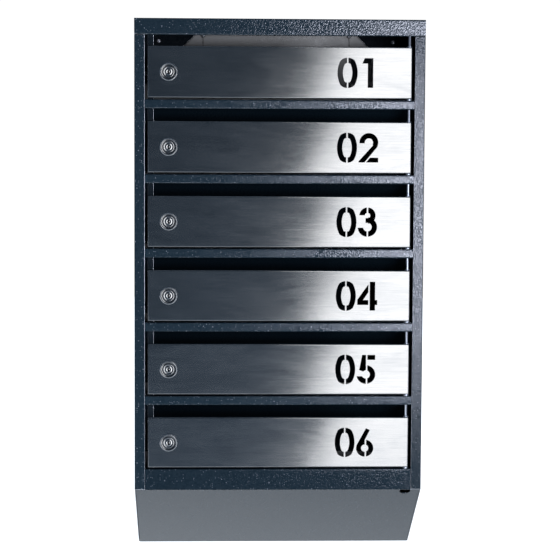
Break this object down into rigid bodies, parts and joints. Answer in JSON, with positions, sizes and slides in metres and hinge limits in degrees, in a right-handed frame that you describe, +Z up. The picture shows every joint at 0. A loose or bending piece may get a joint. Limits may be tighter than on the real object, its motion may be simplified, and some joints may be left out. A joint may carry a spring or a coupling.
{
  "type": "cluster mailbox unit",
  "caption": "Wall-hung steel mailbox cluster with stacked letter slots, numbered stainless doors on one hinge rod, cam locks and a sloping underside.",
  "frame": {"origin": "middle of the four wall holes, on the wall face of the back", "axes": "+X to the viewer's right, +Y from the doors back into the wall, +Z up"},
  "size_m": [0.39, 0.1622, 0.743],
  "materials": {
    "housing_paint": "blue-grey hammertone powder coat, glossy",
    "zinc_sheet": "smooth galvanised sheet, satin",
    "stainless_door": "brushed along the door's width",
    "lock_chrome": "bright chrome plate, lightly worn",
    "zinc_fitting": "zinc plated, satin",
    "bright_steel": "drawn bright steel",
    "rivet_steel": "bright, slightly dulled"
  },
  "bodies": {
    "housing": {"side_left": "housing_paint", "side_right": "housing_paint", "top_panel": "housing_paint", "bottom_panel": "housing_paint", "back_panel": "zinc_sheet", "gusset_left": "housing_paint", "gusset_right": "housing_paint", "gusset_rivets": "rivet_steel", "back_rivets": "rivet_steel", "catch_bar": "housing_paint", "hinge_rod": "bright_steel", "rod_clips": "bright_steel", "door_washers": "bright_steel", "shelf_1": "housing_paint", "shelf_2": "housing_paint", "shelf_3": "housing_paint", "shelf_4": "housing_paint", "shelf_5": "housing_paint"},
    "door_1": {"door_1": "stainless_door", "lock_body_1": "lock_chrome", "lock_nut_1": "zinc_fitting"},
    "lock_1": {"lock_plug_1": "lock_chrome", "lock_cam_1": "zinc_fitting", "cam_screw_1": "zinc_fitting"},
    "door_2": {"door_2": "stainless_door", "lock_body_2": "lock_chrome", "lock_nut_2": "zinc_fitting"},
    "lock_2": {"lock_plug_2": "lock_chrome", "lock_cam_2": "zinc_fitting", "cam_screw_2": "zinc_fitting"},
    "door_3": {"door_3": "stainless_door", "lock_body_3": "lock_chrome", "lock_nut_3": "zinc_fitting"},
    "lock_3": {"lock_plug_3": "lock_chrome", "lock_cam_3": "zinc_fitting", "cam_screw_3": "zinc_fitting"},
    "door_4": {"door_4": "stainless_door", "lock_body_4": "lock_chrome", "lock_nut_4": "zinc_fitting"},
    "lock_4": {"lock_plug_4": "lock_chrome", "lock_cam_4": "zinc_fitting", "cam_screw_4": "zinc_fitting"},
    "door_5": {"door_5": "stainless_door", "lock_body_5": "lock_chrome", "lock_nut_5": "zinc_fitting"},
    "lock_5": {"lock_plug_5": "lock_chrome", "lock_cam_5": "zinc_fitting", "cam_screw_5": "zinc_fitting"},
    "door_6": {"door_6": "stainless_door", "lock_body_6": "lock_chrome", "lock_nut_6": "zinc_fitting"},
    "lock_6": {"lock_plug_6": "lock_chrome", "lock_cam_6": "zinc_fitting", "cam_screw_6": "zinc_fitting"}
  },
  "joints": [
    {"name": "door_1_hinge", "type": "hinge", "parent": "housing", "child": "door_1", "pos_m": [0.1738, -0.155, 0.29275], "axis": [0, 0, 1], "range_deg": [0, 105]},
    {"name": "lock_1_turn", "type": "hinge", "parent": "door_1", "child": "lock_1", "pos_m": [-0.149, -0.16, 0.29275], "axis": [0, 1, 0], "range_deg": [0, 90]},
    {"name": "door_2_hinge", "type": "hinge", "parent": "housing", "child": "door_2", "pos_m": [0.1738, -0.155, 0.19275], "axis": [0, 0, 1], "range_deg": [0, 105]},
    {"name": "lock_2_turn", "type": "hinge", "parent": "door_2", "child": "lock_2", "pos_m": [-0.149, -0.16, 0.19275], "axis": [0, 1, 0], "range_deg": [0, 90]},
    {"name": "door_3_hinge", "type": "hinge", "parent": "housing", "child": "door_3", "pos_m": [0.1738, -0.155, 0.09275], "axis": [0, 0, 1], "range_deg": [0, 105]},
    {"name": "lock_3_turn", "type": "hinge", "parent": "door_3", "child": "lock_3", "pos_m": [-0.149, -0.16, 0.09275], "axis": [0, 1, 0], "range_deg": [0, 90]},
    {"name": "door_4_hinge", "type": "hinge", "parent": "housing", "child": "door_4", "pos_m": [0.1738, -0.155, -0.00725], "axis": [0, 0, 1], "range_deg": [0, 105]},
    {"name": "lock_4_turn", "type": "hinge", "parent": "door_4", "child": "lock_4", "pos_m": [-0.149, -0.16, -0.00725], "axis": [0, 1, 0], "range_deg": [0, 90]},
    {"name": "door_5_hinge", "type": "hinge", "parent": "housing", "child": "door_5", "pos_m": [0.1738, -0.155, -0.10725], "axis": [0, 0, 1], "range_deg": [0, 105]},
    {"name": "lock_5_turn", "type": "hinge", "parent": "door_5", "child": "lock_5", "pos_m": [-0.149, -0.16, -0.10725], "axis": [0, 1, 0], "range_deg": [0, 90]},
    {"name": "door_6_hinge", "type": "hinge", "parent": "housing", "child": "door_6", "pos_m": [0.1738, -0.155, -0.20725], "axis": [0, 0, 1], "range_deg": [0, 105]},
    {"name": "lock_6_turn", "type": "hinge", "parent": "door_6", "child": "lock_6", "pos_m": [-0.149, -0.16, -0.20725], "axis": [0, 1, 0], "range_deg": [0, 90]}
  ]
}
